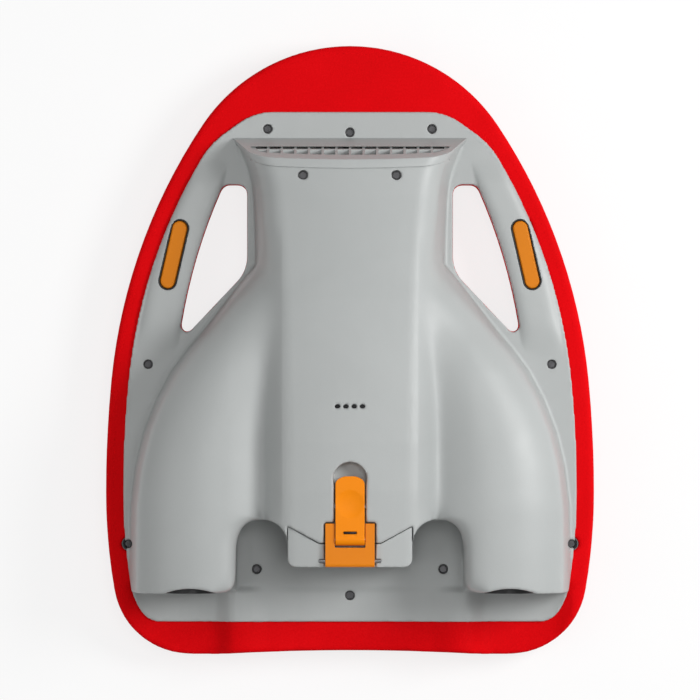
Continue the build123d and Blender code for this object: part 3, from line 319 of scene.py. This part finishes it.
def bump(tree, shader, height, distance, strength=1.0, under=None):
    """Relief on the shader, over another relief where one is given."""
    node = tree.nodes.new("ShaderNodeBump")
    node.inputs["Strength"].default_value = strength
    node.inputs["Distance"].default_value = distance
    tree.links.new(height, node.inputs["Height"])
    if under is not None:
        tree.links.new(under, node.inputs["Normal"])
    tree.links.new(node.outputs["Normal"], shader.inputs["Normal"])
    return node.outputs["Normal"]


def paint(tree, shader, colour, roughness):
    """Leads a colour and a roughness into the shader."""
    tree.links.new(colour, shader.inputs["Base Color"])
    tree.links.new(roughness, shader.inputs["Roughness"])


def shade(colour, factor):
    """A darker or lighter colour."""
    return tuple(c * factor for c in colour)


# ---- Materials -----------------------------------------------------------------------------------------
def moulded(name, colour, rough, grain=900.0, depth=0.00006, vary=0.06, specular=0.5):
    """Moulded plastic: fine spark-eroded grain, faint flow marks and scuffs."""
    mat, tree, shader = new_material(name)
    flow = noise(tree, scale=9.0, detail=4.0, roughness=0.6, distortion=0.6)
    fine = noise(tree, scale=grain, detail=2.0, roughness=0.6)
    scuffs = noise(tree, scale=60.0, detail=5.0, roughness=0.65)
    mottle = mixed(tree, flow, fine, share=0.7)
    tint = ramp(tree, mottle, [(0.3, shade(colour, 1 - vary)), (0.7, shade(colour, 1 + vary))])
    paint(tree, shader, tint, spread(tree, scuffs, low=rough - 0.07, high=rough + 0.07))
    shader.inputs["Specular IOR Level"].default_value = specular
    faint_flow = combine(tree, flow, 0.2, "MULTIPLY")
    bump(tree, shader, combine(tree, fine, faint_flow), distance=depth)
    return mat


def metal(name, colour, rough, stretch=(1, 1, 40)):
    """Brushed metal: its noise is squeezed along one axis, so that fine scratches run across that axis."""
    mat, tree, shader = new_material(name)
    mapping = tree.nodes.new("ShaderNodeMapping")
    mapping.inputs["Scale"].default_value = stretch
    tree.links.new(coordinates(tree), mapping.inputs["Vector"])
    lines = noise(tree, scale=300.0, detail=3.0, roughness=0.6, vector=mapping.outputs["Vector"])
    tint = ramp(tree, lines, [(0.2, shade(colour, 0.85)), (0.8, colour)])
    paint(tree, shader, tint, spread(tree, lines, low=rough - 0.08, high=rough + 0.1))
    shader.inputs["Metallic"].default_value = 1.0
    bump(tree, shader, lines, distance=0.00002)
    return mat


def foam_material():
    """Closed-cell foam skin: fine pebbled cells, soft mottling and hardly any gloss."""
    mat, tree, shader = new_material("foam")
    grain = cells(tree, scale=900.0)
    soft = noise(tree, scale=14.0, detail=4.0, roughness=0.55, distortion=0.4)
    speck = noise(tree, scale=500.0, detail=3.0, roughness=0.6)
    mottle = mixed(tree, soft, speck, share=0.5)
    tint = ramp(tree, mottle, [(0.3, FOAM_DARK), (0.5, FOAM_RED), (0.7, FOAM_LIGHT)])
    paint(tree, shader, tint, spread(tree, soft, low=0.62, high=0.78))
    shader.inputs["Specular IOR Level"].default_value = 0.05
    dents = bump(tree, shader, soft, distance=0.0005, strength=0.5)
    bump(tree, shader, combine(tree, grain, speck), distance=0.00012, under=dents)
    return mat


MATERIALS = {"foam": foam_material()}
for slot, look in PLASTICS.items():
    MATERIALS[slot] = moulded(slot, **look)
for slot, look in METALS.items():
    MATERIALS[slot] = metal(slot, **look)


# ---- Meshes and their points ---------------------------------------------------------------------------
def welded(mesh):
    """The mesh opened for editing, with the doubled points of its facets merged."""
    work = bmesh.new()
    work.from_mesh(mesh)
    bmesh.ops.remove_doubles(work, verts=work.verts, dist=WELD_DISTANCE)
    return work


def voxel_mesh(node, name, voxel):
    """The node's form as an even mesh, so that its edges can be rolled."""
    mesh = nodes[node].data.copy()
    work = welded(mesh)
    work.to_mesh(mesh)
    work.free()
    obj = bpy.data.objects.new(name + "_work", mesh)
    bpy.context.scene.collection.objects.link(obj)
    remesh = obj.modifiers.new("remesh", "REMESH")
    remesh.mode = "VOXEL"
    remesh.voxel_size = voxel
    graph = bpy.context.evaluated_depsgraph_get()
    made = bpy.data.meshes.new_from_object(obj.evaluated_get(graph))
    bpy.data.objects.remove(obj)
    made.name = name
    return made


def mesh_arrays(mesh):
    """Points and edges of a mesh."""
    points = np.empty(len(mesh.vertices) * 3)
    mesh.vertices.foreach_get("co", points)
    edges = np.empty(len(mesh.edges) * 2, int)
    mesh.edges.foreach_get("vertices", edges)
    return points.reshape(-1, 3), edges.reshape(-1, 2)


def set_points(mesh, points):
    """Moves a mesh's points."""
    mesh.vertices.foreach_set("co", points.ravel())
    mesh.update()


def neighbour_counts(edges, count):
    """How many neighbours each point has, as a column; a loose point counts one."""
    return np.maximum(np.bincount(edges.ravel(), minlength=count), 1)[:, None]


def pull(points, edges, neighbours):
    """The way from each point to the middle of its neighbours."""
    count = len(points)
    total = np.empty_like(points)
    for axis in range(3):
        total[:, axis] = np.bincount(edges[:, 0], points[edges[:, 1], axis], count)
        total[:, axis] += np.bincount(edges[:, 1], points[edges[:, 0], axis], count)
    return total / neighbours - points


def relax(points, edges, rounds):
    """Taubin smoothing: rolls edges without shrinking the form."""
    neighbours = neighbour_counts(edges, len(points))
    for _ in range(rounds):
        for factor in TAUBIN_STEPS:
            points = points + factor * pull(points, edges, neighbours)
    return points


def diffuse(points, edges, rounds, weight):
    """Plain smoothing where weight says, for wide fillets."""
    inside = weight > 0
    near = inside[edges[:, 0]] | inside[edges[:, 1]]
    used, order = np.unique(edges[near], return_inverse=True)
    local_edges = order.reshape(-1, 2)
    local = points[used]
    share = FILLET_STEP * weight[used][:, None]
    neighbours = neighbour_counts(local_edges, len(used))
    for _ in range(rounds):
        local = local + share * pull(local, local_edges, neighbours)
    points[used] = local
    return points


def rise(value, start, end):
    """0 before start and 1 after end, with a smooth rise; start may be the larger."""
    t = np.clip((value - start) / (end - start), 0, 1)
    return t * t * (3 - 2 * t)


def zone(points, bands):
    """How far each point is inside a zone, from 0 to 1."""
    measures = {"x": np.abs(points[:, 0]), "y": points[:, 1], "z": points[:, 2]}
    share = np.ones(len(points))
    for axis, start, full in bands:
        share *= rise(measures[axis], start, full)
    return share


def finish_piece(mesh, body, slot, *replaced):
    """The mesh as a piece that rides on a body and stands for the nodes it replaces."""
    obj = bpy.data.objects.new(mesh.name, mesh)
    bpy.context.scene.collection.objects.link(obj)
    mesh.materials.clear()
    mesh.materials.append(MATERIALS[slot])
    mesh.shade_smooth()
    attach(obj, body)
    if replaced:
        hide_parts(*replaced)
    return obj


# ---- The triggers' pill outline ------------------------------------------------------------------------
def pill_middle(side):
    """Middle in plan of a trigger's pill, which is the top of the trigger."""
    corners = np.array([vert.co for vert in nodes["trigger_" + side].data.vertices])
    top = corners[corners[:, 2] > corners[:, 2].max() - PILL_TOP]
    return (top[:, :2].min(axis=0) + top[:, :2].max(axis=0)) / 2


def pill_axes(side):
    """Ways in plan along and across a trigger's pill."""
    turn = math.radians(90 + PILL_LEAN)
    along = np.array((SIDES[side] * math.cos(turn), math.sin(turn)))
    across = np.array((-SIDES[side] * math.sin(turn), math.cos(turn)))
    return along, across


def pill_spot(share):
    """Spot on the pill's middle line and the angle of the way out from it, by share of the outline."""
    straight = PILL_LENGTH - PILL_WIDTH
    radius = PILL_WIDTH / 2
    half_outline = straight + math.pi * radius
    half, run = divmod(share * 2 * half_outline, half_outline)
    spot = min(run, straight) - straight / 2
    angle = math.pi / 2 - max(run - straight, 0) / radius
    return (-spot, angle - math.pi) if half else (spot, angle)


# ---- Skins from the solids -----------------------------------------------------------------------------
def shape_tail(points):
    """Deepens the jet channels and the middle trough behind the nacelles, and lifts the ridges between."""
    depth = CHANNEL_EXTRA * zone(points, CHANNEL) + TROUGH_EXTRA * zone(points, TROUGH)
    depth -= RIDGE_EXTRA * zone(points, RIDGE)
    points[:, 2] -= zone(points, TAIL) * depth
    return points


def crown_handles(points):
    """Rounds the bars outside the hand holes."""
    along = points[:, 1]
    rim = np.interp(along, *zip(*RIM_PLAN))
    hole = np.interp(along, *zip(*HOLE_PLAN))
    across = np.clip((np.abs(points[:, 0]) - hole) / (rim - hole), 0, 1)
    crown = 1 - (2 * across - 1) ** CROWN_POWER
    points[:, 2] += HANDLE_CROWN * zone(points, HANDLE) * crown
    return points


def deepen_trigger_rooms(points):
    """Lowers the floor of the room that each trigger's flange moves in."""
    half = (PILL_LENGTH - PILL_WIDTH) / 2
    for side in SIDES:
        line, _ = pill_axes(side)
        offset = points[:, :2] - pill_middle(side)
        along = np.clip(offset @ line, -half, half)
        away = np.linalg.norm(offset - along[:, None] * line, axis=1)
        inside = (away < ROOM_REACH) & (points[:, 2] > ROOM_LOW) & (points[:, 2] < ROOM_HIGH)
        points[inside, 2] -= ROOM_EXTRA
    return points


def round_nose(points):
    """Narrows the lever's front end into a round nose."""
    reach = np.clip((points[:, 1] - points[:, 1].max()) / NOSE_DEPTH + 1, 0, 1)
    points[:, 0] *= np.sqrt(1 - NOSE_SHARE * reach * reach)
    return points


def foam_skin():
    """Foam body with rolled edges."""
    mesh = voxel_mesh("foam_deck", "foam_skin", FOAM_VOXEL)
    points, edges = mesh_arrays(mesh)
    points = shape_tail(relax(points, edges, FOAM_ROUNDS))
    set_points(mesh, deepen_trigger_rooms(points))
    finish_piece(mesh, "board", "foam", "foam_deck")


def hull_skin():
    """Moulded hull: wide fillets in the valleys and on the nacelles, rolled edges, rounded handle bars."""
    mesh = voxel_mesh("hull_shell", "hull_skin", HULL_VOXEL)
    points, edges = mesh_arrays(mesh)
    points = relax(points, edges, HULL_ROUNDS)
    weight = np.maximum(zone(points, VALLEY), zone(points, ARCH))
    weight = np.maximum(weight, CREST_SHARE * zone(points, CREST))
    rounds = FILLET_ROUNDS
    points = diffuse(points, edges, rounds, weight)
    set_points(mesh, crown_handles(shape_tail(points)))
    return finish_piece(mesh, "board", "hull_plastic", "hull_shell")


def rolled_copy(node, name, voxel, rounds, body, slot, shape=None):
    """A small piece's skin: shaped where a shape is given, then rolled at its edges."""
    mesh = voxel_mesh(node, name, voxel)
    points, edges = mesh_arrays(mesh)
    if shape is not None:
        points = shape(points)
    set_points(mesh, relax(points, edges, rounds))
    finish_piece(mesh, body, slot, node)


foam_skin()
hull = hull_skin()
rolled_copy("battery_cap", "battery_cap_skin", CAP_VOXEL, CAP_ROUNDS, "battery", "hull_plastic")
rolled_copy(
    "latch_lever", "latch_lever_skin", SMALL_VOXEL, LEVER_ROUNDS,
    "latch_lever", "lever_orange", shape=round_nose,
)
rolled_copy("latch_frame", "latch_frame_skin", SMALL_VOXEL, FRAME_ROUNDS, "latch_frame", "frame_orange")
for side in SIDES:
    trigger = "trigger_" + side
    rolled_copy(trigger, "trigger_skin_" + side, SMALL_VOXEL, TRIGGER_ROUNDS, trigger, "trigger_orange")


# ---- Small dark pieces: painted shade in the screw recesses, round the triggers and in the lever's slot ---
def closed_grid(rows, columns):
    """Faces of a grid of points that closes on itself both ways."""
    faces = []
    for row in range(rows):
        here = row * columns
        onward = (row + 1) % rows * columns
        for column in range(columns):
            beside = (column + 1) % columns
            faces.append((here + column, here + beside, onward + beside, onward + column))
    return faces


def lathe(profile, centre, steps):
    """Ring about a vertical line, as points and faces; its profile is (radius, height)."""
    points = []
    for radius, height in profile:
        for i in range(steps):
            angle = 2 * math.pi * i / steps
            x = centre.x + radius * math.cos(angle)
            y = centre.y + radius * math.sin(angle)
            points.append((x, y, height))
    return points, closed_grid(len(profile), steps)


def join_parts(name, parts):
    """One mesh from several lists of points and faces, with its faces turned outwards."""
    points = []
    faces = []
    for more, loops in parts:
        base = len(points)
        points += more
        faces += [tuple(base + i for i in loop) for loop in loops]
    mesh = bpy.data.meshes.new(name)
    mesh.from_pydata(points, [], faces)
    work = bmesh.new()
    work.from_mesh(mesh)
    bmesh.ops.recalc_face_normals(work, faces=work.faces)
    work.to_mesh(mesh)
    work.free()
    return mesh


def islands(node):
    """Lowest and highest corner of each loose solid of a node."""
    work = welded(nodes[node].data)
    found = []
    seen = set()
    for start in work.verts:
        if start in seen:
            continue
        seen.add(start)
        group = [start]
        for vert in group:
            others = {edge.other_vert(vert) for edge in vert.link_edges} - seen
            seen |= others
            group.extend(others)
        low = Vector([min(vert.co[axis] for vert in group) for axis in range(3)])
        high = Vector([max(vert.co[axis] for vert in group) for axis in range(3)])
        found.append((low, high))
    work.free()
    return found


def surface_height(obj, x, y):
    """Height of the top of a piece at a place, or None beside the piece."""
    graph = bpy.context.evaluated_depsgraph_get()
    start = Vector((x, y, PROBE_START))
    hit, place, _, _ = obj.evaluated_get(graph).ray_cast(start, Vector((0, 0, -1)))
    return place.z if hit else None


def height_round(hull, centre):
    """Height of the hull round a screw, or None where a wall or the hull's edge is beside it.

    It is the second highest of the probed heights, so one high spot doesn't lift the cup.
    """
    found = []
    for angle in CUP_PROBE_ANGLES:
        x = centre.x + CUP_PROBE * math.cos(angle)
        y = centre.y + CUP_PROBE * math.sin(angle)
        found.append(surface_height(hull, x, y))
    if None in found or max(found) - min(found) >= CUP_FLAT:
        return None
    return sorted(found)[-2]


def cup_profile(outer, top, floor):
    """Section of a cup as (radius, height): outer wall, rim, inner wall and floor."""
    return (
        (outer, top - CUP_SKIRT),
        (outer, top - CUP_EDGE),
        (outer - CUP_EDGE, top),
        (CUP_INNER + CUP_EDGE, top),
        (CUP_INNER, top - CUP_INNER_EDGE),
        (CUP_INNER, floor),
        (outer - CUP_WALL, floor),
        (outer - CUP_WALL, top - CUP_SKIRT),
    )


def screw_shade_cups(hull):
    """Black ring lining each hull screw's recess, painted shade; one beside a wall is narrower and low as
    the plate.
    """
    screws = []
    for low, high in islands("hull_screws"):
        centre = (low + high) / 2
        screws.append((centre, high.z, height_round(hull, centre)))
    plate = min(height for _, _, height in screws if height is not None)
    parts = []
    for centre, head, height in screws:
        outer = CUP_NARROW if height is None else CUP_OUTER
        top = (plate if height is None else height) + CUP_PROUD
        parts.append(lathe(cup_profile(outer, top, head - CUP_FLOOR), centre, CUP_STEPS))
    finish_piece(join_parts("screw_shade_cups", parts), "board", "black_plastic")


def trigger_shade_ring(side, hull):
    """Black ring on the handle bar round a trigger, painted shade of the gap round it."""
    middle = pill_middle(side)
    along, across = pill_axes(side)
    points = []
    for i in range(SHADE_RING_STEPS):
        spot, angle = pill_spot(i / SHADE_RING_STEPS)
        base = middle + spot * along
        out = math.cos(angle) * along + math.sin(angle) * across
        height = surface_height(hull, *(base + (PILL_WIDTH / 2 + SHADE_RING_PROBE) * out))
        for reach, lift in SHADE_RING_PROFILE:
            x, y = base + (PILL_WIDTH / 2 + reach) * out
            points.append((x, y, height + lift))
    faces = closed_grid(SHADE_RING_STEPS, len(SHADE_RING_PROFILE))
    finish_piece(join_parts("trigger_shade_ring_" + side, [(points, faces)]), "board", "seal_rubber")


def slot_shade_pad():
    """Dark pad in the lever's slot, painted shade of the slot."""
    middle = lever_low.y + SHADE_PAD_FROM_REAR
    top = lever_high.z - SHADE_PAD_SINK
    points = []
    for z in (top - SHADE_PAD_THICK, top):
        points += [(x * SHADE_PAD_LENGTH / 2, middle + y * SHADE_PAD_WIDTH / 2, z) for x, y in SQUARE]
    faces = [(0, 3, 2, 1), (4, 5, 6, 7)]
    for k in range(4):
        onward = (k + 1) % 4
        faces.append((k, onward, onward + 4, k + 4))
    finish_piece(join_parts("lever_slot_shade_pad", [(points, faces)]), "latch_lever", "seal_rubber")


screw_shade_cups(hull)
for side in SIDES:
    trigger_shade_ring(side, hull)
slot_shade_pad()


# ---- CAD nodes that stay -------------------------------------------------------------------------------
def dress_nodes():
    """Gives every CAD node the material of its slot."""
    slots = {part["node"]: part["material_slot"] for part in frame["record"]["subparts"]}
    for name, obj in nodes.items():
        if not obj.material_slots:
            obj.data.materials.append(None)
        for place in obj.material_slots:
            place.material = MATERIALS[slots[name]]


def round_bezel():
    """Rounds the edges of the lip round the intake mouth."""
    weld = nodes["intake_bezel"].modifiers.new("weld", "WELD")
    weld.merge_threshold = BEZEL_WELD
    bevel = nodes["intake_bezel"].modifiers.new("bevel", "BEVEL")
    bevel.width = BEZEL_EDGE
    bevel.segments = BEZEL_SEGMENTS
    bevel.limit_method = "ANGLE"
    bevel.angle_limit = math.radians(BEZEL_ANGLE)


dress_nodes()
round_bezel()


# ---- Floor, light and camera ---------------------------------------------------------------------------
def floor_material():
    """Pale matt floor that glows where the camera or a gloss sees it, and still takes shadows."""
    mat, tree, shader = new_material("floor")
    speck = noise(tree, scale=25.0, detail=3.0, roughness=0.5)
    tint = ramp(tree, speck, [(0.3, FLOOR_DARK), (0.7, FLOOR_LIGHT)])
    tree.links.new(tint, shader.inputs["Base Color"])
    shader.inputs["Roughness"].default_value = 0.9
    shader.inputs["Specular IOR Level"].default_value = 0.1
    glow = tree.nodes.new("ShaderNodeEmission")
    glow.inputs["Color"].default_value = (*WHITE, 1)
    path = tree.nodes.new("ShaderNodeLightPath")
    seen = combine(tree, path.outputs["Is Camera Ray"], path.outputs["Is Glossy Ray"], "MAXIMUM")
    mix = tree.nodes.new("ShaderNodeMixShader")
    tree.links.new(combine(tree, seen, FLOOR_GLOW, "MULTIPLY"), mix.inputs["Fac"])
    tree.links.new(shader.outputs["BSDF"], mix.inputs[1])
    tree.links.new(glow.outputs["Emission"], mix.inputs[2])
    out = [node for node in tree.nodes if node.bl_idname == "ShaderNodeOutputMaterial"][0]
    tree.links.new(mix.outputs["Shader"], out.inputs["Surface"])
    return mat


def floor():
    """Floor just under the board."""
    mesh = bpy.data.meshes.new("floor")
    mesh.from_pydata([(x * FLOOR_HALF, y * FLOOR_HALF, 0) for x, y in SQUARE], [], [(0, 1, 2, 3)])
    mesh.materials.append(floor_material())
    obj = bpy.data.objects.new("floor", mesh)
    obj.location.z = cad_low.z - FLOOR_GAP
    bpy.context.scene.collection.objects.link(obj)


def world():
    """Even white light from all round."""
    made = bpy.data.worlds.new("world")
    made.use_nodes = True
    back = made.node_tree.nodes["Background"]
    back.inputs["Color"].default_value = (*WHITE, 1)
    back.inputs["Strength"].default_value = WORLD_STRENGTH
    bpy.context.scene.world = made


def area_light(name, place, size, energy):
    """Round soft light, turned to the board."""
    data = bpy.data.lights.new(name, "AREA")
    data.shape = "DISK"
    data.size = size
    data.energy = energy
    obj = bpy.data.objects.new(name, data)
    obj.location = place
    obj.rotation_euler = (Vector(AIM) - Vector(place)).to_track_quat("-Z", "Y").to_euler()
    bpy.context.scene.collection.objects.link(obj)


def top_camera():
    """Camera high over the middle of the board, so that its view is almost parallel."""
    data = bpy.data.cameras.new("camera")
    data.sensor_width = SENSOR_WIDTH_MM
    data.lens = SENSOR_WIDTH_MM * (CAMERA_HEIGHT - AIM[2]) / VIEW_SIDE
    camera = bpy.data.objects.new("camera", data)
    middle = (cad_low + cad_high) / 2
    camera.location = (middle.x, middle.y, CAMERA_HEIGHT)
    bpy.context.scene.collection.objects.link(camera)
    bpy.context.scene.camera = camera


floor()
world()
area_light("key", place=(1.45, 0.35, 1.35), size=0.8, energy=28.0)
area_light("top", place=(0.2, 0.1, 2.6), size=1.0, energy=12.0)
area_light("fill", place=(-1.6, -0.3, 1.6), size=1.4, energy=7.0)
top_camera()
bpy.context.scene.view_settings.view_transform = "Standard"
